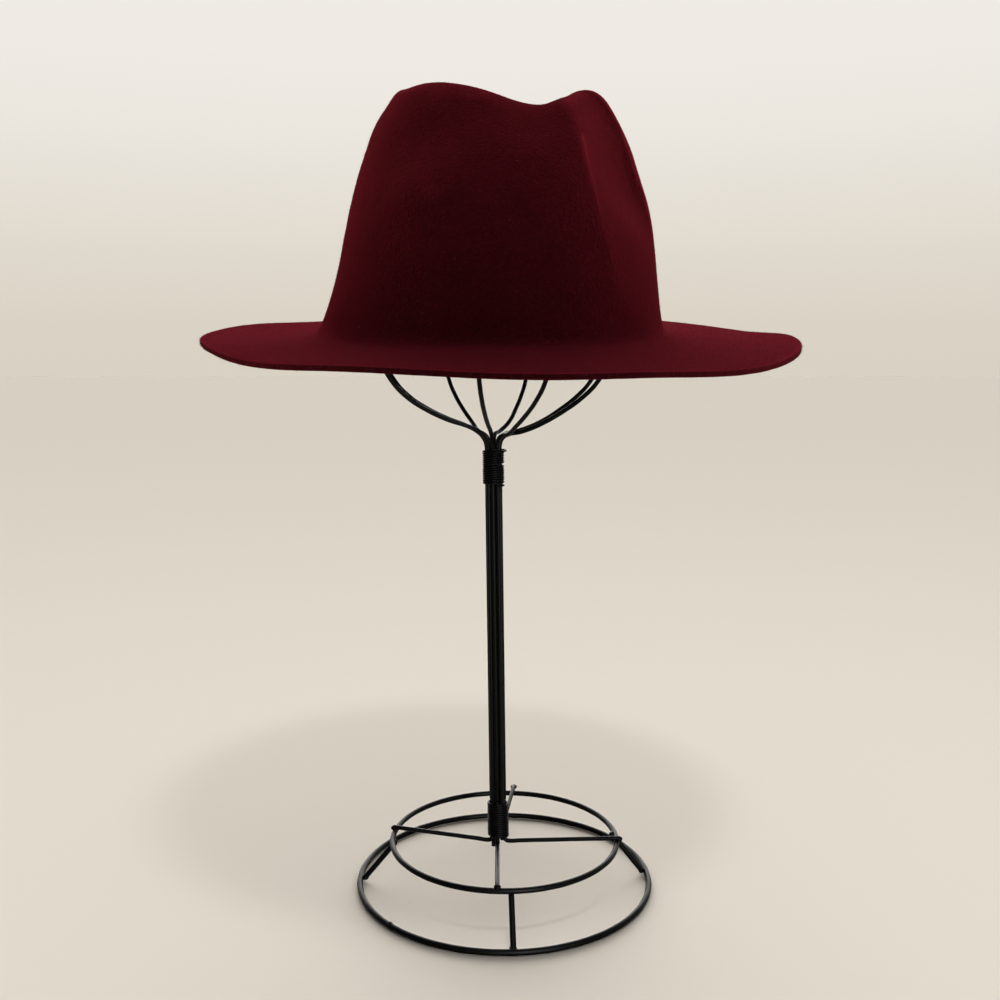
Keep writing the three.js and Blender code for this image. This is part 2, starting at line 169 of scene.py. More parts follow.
# The feet of two loops stand a little over the spokes' tops. Those of the other two stick out
# below the lower coil, one farther than the rest.
SPOKE_TOP_Z = 50.3
STUB_BELOW_WRAP = {"long": 5.6, "short": 1.4}
LONG_STUB_SLOT = 5
GAP_OVER_SPOKE = 0.3

# Half of a loop of the dome, as (distance out from the stem's middle, height).
RIB_PROFILE = (
    (3.9, 266.5),
    (5.6, 271.0),
    (9.0, 274.5),
    (16.0, 278.0),
    (28.0, 282.0),
    (42.0, 288.5),
    (52.0, 295.0),
    (60.0, 303.0),
    (66.0, 314.0),
    (68.5, 330.0),
    (67.5, 350.0),
    (63.0, 374.0),
    (54.0, 398.0),
    (41.0, 419.0),
    (25.0, 433.0),
)
DOME_TOP = 442.1
LAYER = 2.9
# The loops part into layers above this height, and a rib's last knot is this far under its
# coil's top.
LAYERS_FROM = 360.0
RIB_KNOT_DROP = 3.0
# Distances out from the stem at which a rib has turned to its azimuth, and at which its sag
# starts, is deepest and ends.
RIB_SETTLED = 26.0
SAG_SPAN = (5.0, 14.0, 58.0)
# Each loop is one wire with two ribs: (slot in the stem, azimuth, sag, reach).
LOOPS = (
    {"name": "loop_wire_1", "foot": "above", "ribs": ((0, -20, 3.5, 1.04), (4, 160, 0.0, 1.03))},
    {"name": "loop_wire_2", "foot": "below", "ribs": ((1, 20, 3.5, 1.035), (5, 200, 0.0, 0.985))},
    {"name": "loop_wire_3", "foot": "below", "ribs": ((7, -62, 4.0, 1.0), (3, 117, 4.0, 1.0))},
    {"name": "loop_wire_4", "foot": "above", "ribs": ((6, -96, 1.0, 1.0), (2, 70, 4.0, 1.0))},
)

# Stage, in metres. The floor lies just under the part, and the backdrop takes on its own colour
# by this share of the radius up.
STAGE_RADIUS = 60.0
FLOOR_DROP = 0.0002
BACKDROP_RISE = 0.3
# Lamps, in metres. They face this point. The window is tall and narrow.
LAMPS_FACE = Vector((0, 0, 0.2))
KEY_PLACE = (0.22, -0.65, 2.0)
WINDOW_PLACE = (0.5, -1.6, 0.6)
WINDOW_WIDTH = 0.2
WINDOW_HEIGHT = 1.2
# Soft lights: (towards, how narrow, colour times strength).
SOFT_LIGHTS = (
    ((0.0, 1.0, 0.1), 6, (10.4, 10.24, 10.0)),
    ((0.0, 0.75, 0.65), 4, (0.53, 0.52, 0.51)),
    ((0.0, 0.0, 1.0), 4, (0.3, 0.3, 0.29)),
    ((1.0, 0.0, 0.2), 4, (0.44, 0.43, 0.42)),
)
# The lens is level with the brim and looks a little down. Its place is in metres.
CAMERA = {"place": (-0.0006, -0.630, 0.310), "pitch": 6.96, "lens": 38.16, "sensor": 36.0}


def linear(code):
    """Linear red, green and blue of an sRGB hex colour."""
    shares = [int(code[start : start + 2], 16) / 255 for start in (1, 3, 5)]
    return [s / 12.92 if s <= 0.04045 else ((s + 0.055) / 1.055) ** 2.4 for s in shares]


def smoothstep(low, high, value):
    """0 below low, 1 above high, and a smooth curve between them."""
    share = min(1.0, max(0.0, (value - low) / (high - low)))
    return share * share * (3 - 2 * share)


def deselect_all():
    """Goes back to object mode, with nothing selected."""
    if bpy.context.object and bpy.context.object.mode != "OBJECT":
        bpy.ops.object.mode_set(mode="OBJECT")
    bpy.ops.object.select_all(action="DESELECT")


def activate(piece):
    """Selects one object alone and makes it the active one."""
    deselect_all()
    piece.select_set(True)
    bpy.context.view_layer.objects.active = piece


def join(pieces, name):
    """Joins pieces into the first of them."""
    activate(pieces[0])
    for piece in pieces:
        piece.select_set(True)
    bpy.ops.object.join()
    joined = bpy.context.active_object
    joined.name = name
    return joined


def place_in_mesh(piece):
    """Moves a piece's place, turn and scale into its mesh."""
    activate(piece)
    bpy.ops.object.transform_apply(location=True, rotation=True, scale=True)


def dress(piece, name, material, slot, *nodes):
    """Names a finished piece, gives it its material, hangs it under the root empty and hides the
    imported parts that it replaces.
    """
    piece.name = name
    piece.data.name = name
    piece.data.materials.clear()
    piece.data.materials.append(material)
    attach(piece, "root")
    if nodes:
        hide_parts(*nodes)


# Materials


def new_material(name):
    """An empty node material, and its node tree."""
    material = bpy.data.materials.new(name)
    material.use_nodes = True
    material.node_tree.nodes.clear()
    return material, material.node_tree


def add_node(tree, kind, settings=None, inputs=None):
    """Adds a node with its settings. Each input takes a value, or a socket to link."""
    made = tree.nodes.new(kind)
    for name, value in (settings or {}).items():
        setattr(made, name, value)
    for name, value in (inputs or {}).items():
        if isinstance(value, bpy.types.NodeSocket):
            tree.links.new(value, made.inputs[name])
        else:
            made.inputs[name].default_value = value
    return made


def wool_felt(settings):
    """Wool felt: matted fibres with a short nap, painted paler along ridges and rims as wear and
    painted highlight, and darker on the brim's cut edge as painted shade.
    """
    material, tree = new_material("wool felt")
    place = add_node(tree, "ShaderNodeTexCoord").outputs["Object"]
    # A fibre is thinner than 0.05 mm, so the clumps that show are drawn instead.
    clumps = add_node(
        tree,
        "ShaderNodeTexNoise",
        inputs={"Vector": place, "Scale": 1 / (1.6 * MM), "Detail": 4.0, "Roughness": 0.75},
    )
    clouds = add_node(
        tree,
        "ShaderNodeTexNoise",
        inputs={"Vector": place, "Scale": 1 / (16 * MM), "Detail": 3.0, "Roughness": 0.55},
    )
    # The clouds shift the shade of the clumps by a quarter.
    share = add_node(
        tree,
        "ShaderNodeMath",
        {"operation": "MULTIPLY_ADD"},
        {0: clouds.outputs["Fac"], 1: 0.25, 2: clumps.outputs["Fac"]},
    )
    ramp = add_node(tree, "ShaderNodeValToRGB", inputs={"Fac": share.outputs[0]})
    ramp.color_ramp.elements[0].position = 0.45
    ramp.color_ramp.elements[0].color = (*settings.shade_colour, 1)
    ramp.color_ramp.elements[1].position = 0.8
    ramp.color_ramp.elements[1].color = (*settings.felt_colour, 1)
    # Ridges and rims are painted paler: partly wear, partly a painted highlight.
    worn = add_node(tree, "ShaderNodeAttribute", {"attribute_name": "worn"})
    wear_and_highlight_share = add_node(
        tree,
        "ShaderNodeMath",
        {"operation": "MULTIPLY", "use_clamp": True},
        {0: worn.outputs["Fac"], 1: share.outputs[0]},
    )
    colour = add_node(
        tree,
        "ShaderNodeMix",
        {"data_type": "RGBA"},
        {
            "Factor": wear_and_highlight_share.outputs[0],
            "A": ramp.outputs["Color"],
            "B": (*settings.wear_and_highlight_colour, 1),
        },
    )
    # The brim's cut edge is painted darker: painted shade.
    cut = add_node(tree, "ShaderNodeAttribute", {"attribute_name": "cut"})
    colour = add_node(
        tree,
        "ShaderNodeMix",
        {"data_type": "RGBA"},
        {
            "Factor": cut.outputs["Fac"],
            "A": colour.outputs["Result"],
            "B": (*settings.cut_shade_colour, 1),
        },
    )
    bump = add_node(
        tree,
        "ShaderNodeBump",
        inputs={"Height": clumps.outputs["Fac"], "Strength": 1.0, "Distance": 1.2 * MM},
    )
    shader = add_node(
        tree,
        "ShaderNodeBsdfPrincipled",
        inputs={
            "Base Color": colour.outputs["Result"],
            "Roughness": 1.0,
            "Specular IOR Level": 0.0,
            "Sheen Weight": 1.0,
            "Sheen Roughness": 0.6,
            "Sheen Tint": (*settings.sheen_colour, 1),
            "Normal": bump.outputs["Normal"],
        },
    )
    add_node(tree, "ShaderNodeOutputMaterial", inputs={"Surface": shader.outputs["BSDF"]})
    return material


def loose_wool(name, colour, sheen_colour):
    """Loose wool fibre: matt, with lighter and darker stretches, and pale where seen edge on."""
    material, tree = new_material(name)
    place = add_node(tree, "ShaderNodeTexCoord").outputs["Object"]
    shades = add_node(
        tree,
        "ShaderNodeTexNoise",
        inputs={"Vector": place, "Scale": 1 / (3 * MM), "Detail": 2.0},
    )
    ramp = add_node(tree, "ShaderNodeValToRGB", inputs={"Fac": shades.outputs["Fac"]})
    ramp.color_ramp.elements[0].position = 0.35
    ramp.color_ramp.elements[0].color = (*[DARK_STRETCH * c for c in colour], 1)
    ramp.color_ramp.elements[1].position = 0.65
    ramp.color_ramp.elements[1].color = (*colour, 1)
    shader = add_node(
        tree,
        "ShaderNodeBsdfPrincipled",
        inputs={
            "Base Color": ramp.outputs["Color"],
            "Roughness": 0.9,
            "Specular IOR Level": 0.2,
            "Sheen Weight": 0.6,
            "Sheen Roughness": 0.4,
            "Sheen Tint": (*sheen_colour, 1),
        },
    )
    add_node(tree, "ShaderNodeOutputMaterial", inputs={"Surface": shader.outputs["BSDF"]})
    return material


def black_enamel(settings):
    """Black enamel on drawn steel wire: satin, with the slight ripple of a dipped coat."""
    material, tree = new_material("black enamel on wire")
    place = add_node(tree, "ShaderNodeTexCoord").outputs["Object"]
    ripple = add_node(
        tree,
        "ShaderNodeTexNoise",
        inputs={"Vector": place, "Scale": 1 / (1.2 * MM), "Detail": 3.0, "Roughness": 0.55},
    )
    dust = add_node(
        tree,
        "ShaderNodeTexNoise",
        inputs={"Vector": place, "Scale": 1 / (9 * MM), "Detail": 5.0, "Roughness": 0.65},
    )
    ramp = add_node(tree, "ShaderNodeValToRGB", inputs={"Fac": dust.outputs["Fac"]})
    ramp.color_ramp.elements[0].position = 0.4
    ramp.color_ramp.elements[0].color = (*settings.paint_colour, 1)
    ramp.color_ramp.elements[1].position = 0.75
    ramp.color_ramp.elements[1].color = (*settings.dust_colour, 1)
    roughness = add_node(
        tree,
        "ShaderNodeMapRange",
        inputs={"Value": dust.outputs["Fac"], "To Min": 0.34, "To Max": 0.55},
    )
    bump = add_node(
        tree,
        "ShaderNodeBump",
        inputs={"Height": ripple.outputs["Fac"], "Strength": 0.25, "Distance": 0.1 * MM},
    )
    shader = add_node(
        tree,
        "ShaderNodeBsdfPrincipled",
        inputs={
            "Base Color": ramp.outputs["Color"],
            "Roughness": roughness.outputs["Result"],
            "Specular IOR Level": 0.05,
            "Normal": bump.outputs["Normal"],
        },
    )
    add_node(tree, "ShaderNodeOutputMaterial", inputs={"Surface": shader.outputs["BSDF"]})
    return material


def wire_material(context):
    """The one enamel that all the wires share."""
    return bpy.data.materials.get("black enamel on wire") or black_enamel(context.scene.hat_wire)


# Wires


def bent_wire(points, diameter, closed=False, smoothness=6, sides=12):
    """A round wire through points in millimetres, as a mesh with softened cut ends."""
    deselect_all()
    bpy.ops.curve.primitive_bezier_curve_add(location=(0, 0, 0))
    wire = bpy.context.active_object
    wire.data.splines[0].bezier_points.add(len(points) - 2)
    for knot, point in zip(wire.data.splines[0].bezier_points, points):
        knot.co = point * MM
        knot.handle_left_type = "AUTO"
        knot.handle_right_type = "AUTO"
    wire.data.splines[0].use_cyclic_u = closed
    wire.data.resolution_u = smoothness
    wire.data.bevel_depth = diameter / 2 * MM
    wire.data.bevel_resolution = (sides - 4) // 2
    wire.data.use_fill_caps = not closed
    bpy.ops.object.convert(target="MESH")
    wire = bpy.context.active_object
    bpy.ops.object.mode_set(mode="EDIT")
    bpy.ops.mesh.select_all(action="SELECT")
    bpy.ops.mesh.remove_doubles(threshold=1e-6)
    bpy.ops.mesh.normals_make_consistent(inside=False)
    if not closed:
        bpy.ops.mesh.select_all(action="DESELECT")
        bpy.ops.mesh.select_mode(type="EDGE")
        bpy.ops.mesh.edges_select_sharp(sharpness=SHARP)
        bpy.ops.mesh.bevel(offset=diameter * WIRE_ROUNDING * MM, segments=2)
    bpy.ops.object.mode_set(mode="OBJECT")
    bpy.ops.object.shade_smooth_by_angle(angle=SMOOTH_BELOW)
    return wire


def on_stand(radius, azimuth, z):
    """A place by its distance and direction from the middle of the rings."""
    turn = math.radians(azimuth)
    return STAND_MIDDLE + Vector((radius * math.cos(turn), radius * math.sin(turn), z))


def on_stem(radius, azimuth, z):
    """A place by its distance and direction from the middle of the stem, which leans a little."""
    share = (z - STEM["base_z"]) / (STEM["top_z"] - STEM["base_z"])
    middle = STEM["base_x"] + (STEM["top_x"] - STEM["base_x"]) * share
    turn = math.radians(azimuth)
    x = middle + radius * math.cos(turn)
    return Vector((x, STAND_MIDDLE.y + radius * math.sin(turn), z))


def slot_azimuth(slot):
    """Direction of one of the eight wires of the stem."""
    return STEM["turn"] + 45 * slot


def ring_points(ring):
    """Points round a ring that was bent by hand, so it isn't a true circle."""
    points = []
    for step in range(RING_STEPS):
        azimuth = step * 360 / RING_STEPS
        turn = math.radians(azimuth)
        wobble = noise.noise(Vector((math.cos(turn), math.sin(turn), ring["seed"])))
        points.append(on_stand(ring["radius"] + RING_WOBBLE * wobble, azimuth, ring["z"]))
    return points


def spoke_points(quarter):
    """An upright prong on the stem that bends out and lies on the upper ring."""
    azimuth = slot_azimuth(2 * quarter)
    points = [
        on_stem(STEM["radius"], azimuth, SPOKE_TOP_Z),
        on_stem(STEM["radius"], azimuth, LOWER_WRAP["low"] + SPOKE_KNOT_RISE),
        on_stem(STEM["radius"], azimuth, LOWER_WRAP["low"]),
    ]
    for step in range(SPOKE_BEND_STEPS + 1):
        turn = step / SPOKE_BEND_STEPS * math.pi / 2
        out = STEM["radius"] + SPOKE_BEND * (1 - math.cos(turn))
        points.append(on_stem(out, azimuth, SPOKE_LOW + SPOKE_BEND * (1 - math.sin(turn))))
    end = SPOKE_ENDS[quarter]
    last = on_stand(end["radius"], end["azimuth"], end["z"])
    bend_end = points[-1]
    points.extend(bend_end.lerp(last, share) for share in SPOKE_KNOTS)
    points.append(last)
    return points


def weld_place(kind, held, azimuth):
    """Where a blob of weld sits, a little in and up from the wire that it holds."""
    weld = WELDS[kind]
    return on_stand(held["radius"] - weld["inwards"], azimuth, held["z"] + weld["up"])


def weld_bead(kind, place, seed):
    """A blob of weld: a squashed ball with an uneven skin."""
    radius = WELDS[kind]["radius"]
    deselect_all()
    bpy.ops.mesh.primitive_ico_sphere_add(subdivisions=3, radius=radius * MM, location=(0, 0, 0))
    bead = bpy.context.active_object
    for vertex in bead.data.vertices:
        spot = vertex.co / (radius * MM) * WELD_LUMPS["closeness"]
        lump = noise.noise(spot + Vector((seed, 0, 0)))
        vertex.co *= 1 + WELD_LUMPS["height"] * lump
    bpy.ops.transform.resize(value=(1, 1, WELDS[kind]["flatness"]))
    bpy.ops.object.shade_smooth()
    bead.location = place * MM
    place_in_mesh(bead)
    return bead


def rib_points(foot_z, rib, layer_drop):
    """Points of one rib, from its foot in the stem to just short of the top of the dome."""
    slot, azimuth, sag, reach = rib
    start = slot_azimuth(slot)
    turn_by = (azimuth - start + 180) % 360 - 180
    points = [
        on_stem(STEM["radius"], start, foot_z),
        on_stem(STEM["radius"], start, (STEM["base_z"] + STEM["top_z"]) / 2),
        on_stem(STEM["radius"], start, UPPER_WRAP["low"]),
        on_stem(STEM["radius"], start, UPPER_WRAP["high"] - RIB_KNOT_DROP),
    ]
    sag_starts, sag_deepest, sag_ends = SAG_SPAN
    for out, z in RIB_PROFILE:
        settled = smoothstep(STEM["radius"], RIB_SETTLED, out)
        sagged = sag * smoothstep(sag_starts, sag_deepest, out)
        sagged *= 1 - smoothstep(sag_deepest, sag_ends, out)
        lowered = layer_drop * smoothstep(LAYERS_FROM, DOME_TOP, z)
        radius = out * (1 + (reach - 1) * settled)
        points.append(on_stem(radius, start + turn_by * settled, z - sagged - lowered))
    return points


def loop_points(loop, layer):
    """Points of a whole loop, from one foot over the top of the dome to the other foot."""
    halves = []
    for rib in loop["ribs"]:
        if loop["foot"] == "above":
            foot_z = SPOKE_TOP_Z + GAP_OVER_SPOKE
        else:
            stub = "long" if rib[0] == LONG_STUB_SLOT else "short"
            foot_z = LOWER_WRAP["low"] - STUB_BELOW_WRAP[stub]
        halves.append(rib_points(foot_z, rib, layer * LAYER))
    top = on_stem(0, 0, DOME_TOP - layer * LAYER)
    return [*halves[0], top, *reversed(halves[1])]


def wrap_points(wrap, wire, turns):
    """Points of a coil round the stem. A tilt opens a gap on the +X side, from its turn up."""
    radius = STEM["radius"] + THIN_WIRE / 2 + wire / 2 + WRAP_GAP
    loop_starts, loop_widest, loop_ends = (turns - before for before in OPEN_LOOP)
    points = []
    for step in range(turns * WRAP_STEPS + 1):
        turn = step / WRAP_STEPS
        azimuth = 360 * turn + WRAP_START
        ahead = (1 + math.cos(math.radians(azimuth))) / 2
        z = wrap["low"] + wire / 2 + (wrap["high"] - wrap["low"] - wire) * turn / turns
        for from_turn, gap in wrap["tilts"]:
            z += gap * ahead * smoothstep(from_turn - TILT_SPREAD, from_turn + TILT_SPREAD, turn)
        spot = Vector((turn * WRAP_WOBBLE["closeness"], wrap["low"], 0.5))
        uneven = WRAP_WOBBLE["height"] * noise.noise(spot)
        bulge = wrap["loop_end"] * smoothstep(loop_starts, loop_widest, turn)
        bulge *= 1 - smoothstep(loop_widest, loop_ends, turn)
        points.append(on_stem(radius + uneven + bulge, azimuth, z))
    return points


# Felt


def move_vertices(piece, move):
    """Moves each vertex by move(place, normal), all in millimetres."""
    vertices = piece.data.vertices
    placed = [(vertex.co / MM, vertex.normal.copy()) for vertex in vertices]
    moved = [(place + move(place, normal)) * MM for place, normal in placed]
    vertices.foreach_set("co", [number for place in moved for number in place])
    piece.data.update()


def uneven_felt(place, normal, settings):
    """Soft waves and swellings that carry both faces of the felt, and small lumps on each."""
    wave = noise.noise_vector(place / settings.wave_length) * settings.wave_height
    spot = on_hat(place * MM)
    for middle, reaches, push in SWELLINGS:
        squared = sum(((a - b) / reach) ** 2 for a, b, reach in zip(spot, middle, reaches))
        wave += math.exp(-squared) * Vector(push)
    return wave + normal * noise.noise(place / LUMP_LENGTH + LUMP_START) * settings.lump_height


def on_hat(place):
    """A place as (forwards, to the left, up) of the hat's own middle, in millimetres."""
    return Matrix.Rotation(-HAT_TILT, 3, "X") @ (place / MM - HAT_MIDDLE)


def crease_sharp_folds(body):
    """Keeps the pinch's ridges, and the fold ahead where crown meets brim, from being smoothed."""
    activate(body)
    bpy.ops.object.mode_set(mode="EDIT")
    for low, high, upright, crease in RIDGE_CREASES:
        bpy.ops.mesh.select_all(action="DESELECT")
        mesh = bmesh.from_edit_mesh(body.data)
        for edge in mesh.edges:
            a, b = (on_hat(vertex.co) for vertex in edge.verts)
            middle = (a + b) / 2
            steep = abs(b.z - a.z) > UPRIGHT_SLOPE * math.hypot(b.x - a.x, b.y - a.y)
            bent = edge.is_manifold and edge.calc_face_angle() > FOLD_ANGLE
            near = low < middle.z < high and middle.x > FOLDS_AHEAD_OF
            if near and steep == upright and bent:
                edge.select = True
        bpy.ops.transform.edge_crease(value=crease)
    bpy.ops.object.mode_set(mode="OBJECT")


def on_brim(places):
    """Whether each place is on the brim, and the direction that is up on the hat."""
    up = np.array(Matrix.Rotation(HAT_TILT, 3, "X") @ Vector((0, 0, 1)))
    from_middle = places / MM - np.array(HAT_MIDDLE)
    outwards = from_middle - np.outer(from_middle @ up, up)
    return np.linalg.norm(outwards, axis=1) > BRIM_STARTS, up


def cut_edge(places, normals):
    """1 on the cut edge that runs all round the brim, and 0 elsewhere."""
    far_out, up = on_brim(places)
    return np.where(far_out & (np.abs(normals @ up) < CUT_FACING), 1.0, 0.0)


def read_vectors(items, name):
    """One vector of each of a mesh's items, as rows."""
    numbers = np.empty(3 * len(items))
    items.foreach_get(name, numbers)
    return numbers.reshape(-1, 3)


def mark_nap(body):
    """Stores where ridges and rims are painted paler, as wear and painted highlight, and where the
    cut edge is painted darker, as painted shade.
    """
    count = len(body.data.vertices)
    places = read_vectors(body.data.vertices, "co") / MM
    normals = read_vectors(body.data.vertex_normals, "vector")
    ends = np.empty(2 * len(body.data.edges), dtype=np.int64)
    body.data.edges.foreach_get("vertices", ends)
    a, b = ends.reshape(-1, 2).T
    along = places[b] - places[a]
    squared = np.maximum((along**2).sum(axis=1), 1e-9)
    bend = np.bincount(a, -(normals[a] * along).sum(axis=1) / squared, count)
    bend += np.bincount(b, (normals[b] * along).sum(axis=1) / squared, count)
    neighbours = np.bincount(a, minlength=count) + np.bincount(b, minlength=count)
    bend = 2 * bend / np.maximum(neighbours, 1)
    for _ in range(WEAR_AND_HIGHLIGHT_SPREAD):
        spread = np.bincount(a, bend[b], count) + np.bincount(b, bend[a], count)
        bend = 0.5 * bend + 0.5 * spread / np.maximum(neighbours, 1)
    # Convex bends are painted paler: partly wear, partly a painted highlight.
    worn = np.clip((bend - WEAR_AND_HIGHLIGHT_BEND[0]) / (WEAR_AND_HIGHLIGHT_BEND[1] - WEAR_AND_HIGHLIGHT_BEND[0]), 0, 1)
    far_out, _ = on_brim(places * MM)
    worn[far_out] *= RIM_WEAR_AND_HIGHLIGHT
    # The cut edge is marked for its painted shade.
    cut = cut_edge(places * MM, normals)
    for name, values in (("worn", worn), ("cut", cut)):
        mark = body.data.attributes.new(name, "FLOAT", "POINT")
        mark.data.foreach_set("value", values)


def felt_body(settings):
    """The hat's felt, smooth and slightly uneven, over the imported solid's own shape."""
    deselect_all()
    bpy.ops.object.add(type="MESH", location=(0, 0, 0))
    body = bpy.context.active_object
    body.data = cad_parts["felt_hat"].data.copy()
    bpy.ops.object.mode_set(mode="EDIT")
    bpy.ops.mesh.select_all(action="SELECT")
    bpy.ops.mesh.remove_doubles(threshold=1e-5)
    bpy.ops.mesh.tris_convert_to_quads(face_threshold=QUAD_ANGLE, shape_threshold=QUAD_ANGLE)
    bpy.ops.mesh.select_mode(type="EDGE")
    bpy.ops.mesh.select_all(action="DESELECT")
    bpy.ops.mesh.edges_select_sharp(sharpness=SHARP)
    bpy.ops.mesh.bevel(offset=FELT_ROUNDING * MM, segments=2)
    bpy.ops.object.mode_set(mode="OBJECT")
    crease_sharp_folds(body)
    smooth = body.modifiers.new("smooth", "SUBSURF")
    smooth.levels = 2
    smooth.render_levels = 2
    bpy.ops.object.modifier_apply(modifier=smooth.name)
    bpy.ops.object.shade_smooth()
    move_vertices(body, lambda place, normal: uneven_felt(place, normal, settings))
    mark_nap(body)
    return body


def fibre_pattern(sections):
    """One straight fibre, 1 long and 1 across at its root, and tapered to its tip."""
    deselect_all()
    bpy.ops.mesh.primitive_cone_add(
        vertices=3, radius1=0.5, radius2=0, depth=1, location=(0, 0, 0.5)
    )
    pattern = bpy.context.active_object
    place_in_mesh(pattern)
    bpy.ops.object.mode_set(mode="EDIT")
    for section in range(1, sections):
        bpy.ops.mesh.select_all(action="SELECT")
        height = section / sections
        bpy.ops.mesh.bisect(plane_co=(0, 0, height), plane_no=(0, 0, 1))
    bpy.ops.object.mode_set(mode="OBJECT")
    points = np.array([vertex.co for vertex in pattern.data.vertices])
    faces = [list(face.vertices) for face in pattern.data.polygons]
    bpy.data.objects.remove(pattern)
    return points, faces


def surface_samples(body, count, draw, weigh):
    """Points spread over a body's faces, with their normals. weigh gives each face's share."""
    mesh = body.data
    mesh.calc_loop_triangles()
    corners = np.array([vertex.co for vertex in mesh.vertices])
    triangles = np.array([triangle.vertices for triangle in mesh.loop_triangles])
    a, b, c = (corners[triangles[:, corner]] for corner in range(3))
    crossed = np.cross(b - a, c - a)
    doubled = np.linalg.norm(crossed, axis=1)
    normals = crossed / np.maximum(doubled, 1e-15)[:, None]
    shares = doubled * weigh((a + b + c) / 3, normals)
    picked = draw.choice(len(triangles), size=count, p=shares / shares.sum())
    u, v = draw.random_sample((2, count, 1))
    flipped = u + v > 1
    u, v = np.where(flipped, 1 - u, u), np.where(flipped, 1 - v, v)
    places = a[picked] + u * (b - a)[picked] + v * (c - a)[picked]
    return places, normals[picked]


def sow_fibres(name, pattern, places, ups, leans, lengths, widths, curls):
    """One mesh of fibres, each a copy of the pattern that stands at its place and bends over."""
    points, faces = pattern
    sides = np.cross(ups, leans)
    across, depth, along = points.T
    bent = curls[:, None] * along**2
    rise = along * np.sqrt(1 - bent**2)
    grown = (
        places[:, None, :]
        + (widths[:, None] * depth)[..., None] * sides[:, None, :]
        + (widths[:, None] * across + lengths[:, None] * bent)[..., None] * leans[:, None, :]
        + (lengths[:, None] * rise)[..., None] * ups[:, None, :]
    )
    mesh = bpy.data.meshes.new(name)
    starts = np.arange(len(places)) * len(points)
    all_faces = [
        [start + corner for corner in face] for start in starts.tolist() for face in faces
    ]
    mesh.from_pydata(grown.reshape(-1, 3).tolist(), [], all_faces)
    deselect_all()
    bpy.ops.object.add(type="MESH", location=(0, 0, 0))
    fibres = bpy.context.active_object
    fibres.data = mesh
    bpy.ops.object.shade_smooth()
    return fibres


def outer_face(places, normals):
    """1 on the outer face of the felt and its cut edge, and little on the inner face."""
    seen_from = np.array(UNDER_THE_HAT) * MM
    outward = ((places - seen_from) * normals).sum(axis=1)
    return np.where(outward > 0, 1.0, INNER_SHARE)


def fibre_stand(draw, normals, low, high):
    """Directions for fibres: the way each stands, and the way it bends over."""
    tangents = np.cross(normals, draw.normal(size=normals.shape))
    tangents /= np.linalg.norm(tangents, axis=1)[:, None]
    lifts = np.radians(draw.uniform(low, high, size=(len(normals), 1)))
    ups = np.cos(lifts) * tangents + np.sin(lifts) * normals
    leans = np.cross(np.cross(ups, normals), ups)
    leans /= -np.linalg.norm(leans, axis=1)[:, None]
    return ups, leans


# Groups of fibres: (piece, setting with their number, sections, lift off the felt in degrees,
# length in mm, width in mm, highest curl, where they stand, their wool).
FIBRES = (
    ("felt_nap", "nap_count", 1, (25, 75), (0.5, 1.3), 0.11, 0.6, outer_face, "loose wool"),
    ("pale_nap", "pale_count", 1, (5, 45), (0.5, 1.4), 0.12, 0.6, outer_face, "pale wool"),
    ("stray_fibres", "stray_count", 3, (20, 80), (1.4, 3.4), 0.07, 0.7, outer_face, "loose wool"),
    ("edge_fuzz", "fuzz_count", 3, (30, 90), (0.6, 1.8), 0.08, 0.7, cut_edge, "loose wool"),
    ("lint", "lint_count", 3, (0, 12), (0.4, 1.4), 0.16, 0.6, outer_face, "caught lint"),
)


# Settings


class FeltSettings(bpy.types.PropertyGroup):
    """Colours and sizes of the felt."""

    felt_colour: FloatVectorProperty(
        name="Felt", description="Colour of the wool",
        subtype="COLOR", default=linear("#3b0d13"), min=0, max=1,
    )
    shade_colour: FloatVectorProperty(
        name="Shade", description="Colour deep in the nap",
        subtype="COLOR", default=linear("#190407"), min=0, max=1,
    )
    sheen_colour: FloatVectorProperty(
        name="Sheen", description="Colour of the nap seen edge on",
        subtype="COLOR", default=linear("#aa313f"), min=0, max=1,
    )
    # Paler nap on ridges and rims: partly wear, partly a painted highlight.
    wear_and_highlight_colour: FloatVectorProperty(
        name="Wear and highlight", description="Colour of the nap on ridges and rims",
        subtype="COLOR", default=linear("#a02c3c"), min=0, max=1,
    )
    # Darker cut edge of the brim: painted shade.
    cut_shade_colour: FloatVectorProperty(
        name="Cut edge shade", description="Colour of the cut edge of the brim",
        subtype="COLOR", default=linear("#140306"), min=0, max=1,
    )
    lint_colour: FloatVectorProperty(
        name="Lint", description="Colour of caught lint",
        subtype="COLOR", default=linear("#c8767c"), min=0, max=1,
    )
    wave_length: FloatProperty(
        name="Wave length", description="Length of the felt's soft waves, in mm",
        default=55, min=5,
    )
    wave_height: FloatProperty(
        name="Wave height", description="Height of those waves, in mm", default=0.35, min=0
    )
    lump_height: FloatProperty(
        name="Lump height", description="Height of small lumps, in mm", default=0.10, min=0
    )
    nap_count: IntProperty(name="Nap", description="Number of nap fibres", default=40000, min=0)
    stray_count: IntProperty(
        name="Stray fibres", description="Number of long stray fibres", default=1500, min=0
    )
    pale_count: IntProperty(
        name="Pale nap", description="Number of paler nap fibres", default=9000, min=0
    )
    fuzz_count: IntProperty(
        name="Edge fuzz", description="Number of fibres on the brim's cut edge",
        default=3500, min=0,
    )
    lint_count: IntProperty(name="Lint", description="Number of lint specks", default=700, min=0)


